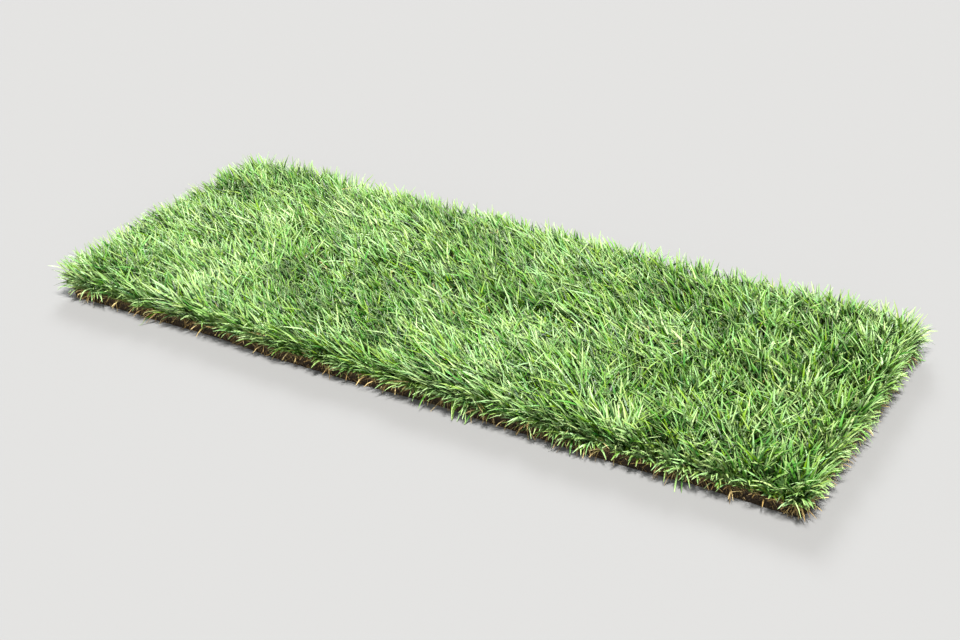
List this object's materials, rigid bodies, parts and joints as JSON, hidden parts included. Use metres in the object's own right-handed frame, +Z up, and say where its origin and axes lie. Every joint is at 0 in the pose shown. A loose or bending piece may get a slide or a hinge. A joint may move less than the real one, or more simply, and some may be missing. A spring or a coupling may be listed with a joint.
{
  "type": "strip of turf, laid flat",
  "caption": "Strip of turf unrolled and laid flat: a thin mat of soil and roots with leafy grass standing on it and leaning out over its cut edges.",
  "frame": {"origin": "on the floor under the middle of the strip", "axes": "+X along the strip towards the end nearer the camera in the picture, +Y across it towards the back, +Z up out of the ground"},
  "size_m": [1.56, 0.6513, 0.0768],
  "materials": {
    "soil": "matte",
    "grass": "matte"
  },
  "bodies": {
    "root": {"root_mat": "soil", "grass": "grass"}
  },
  "joints": []
}
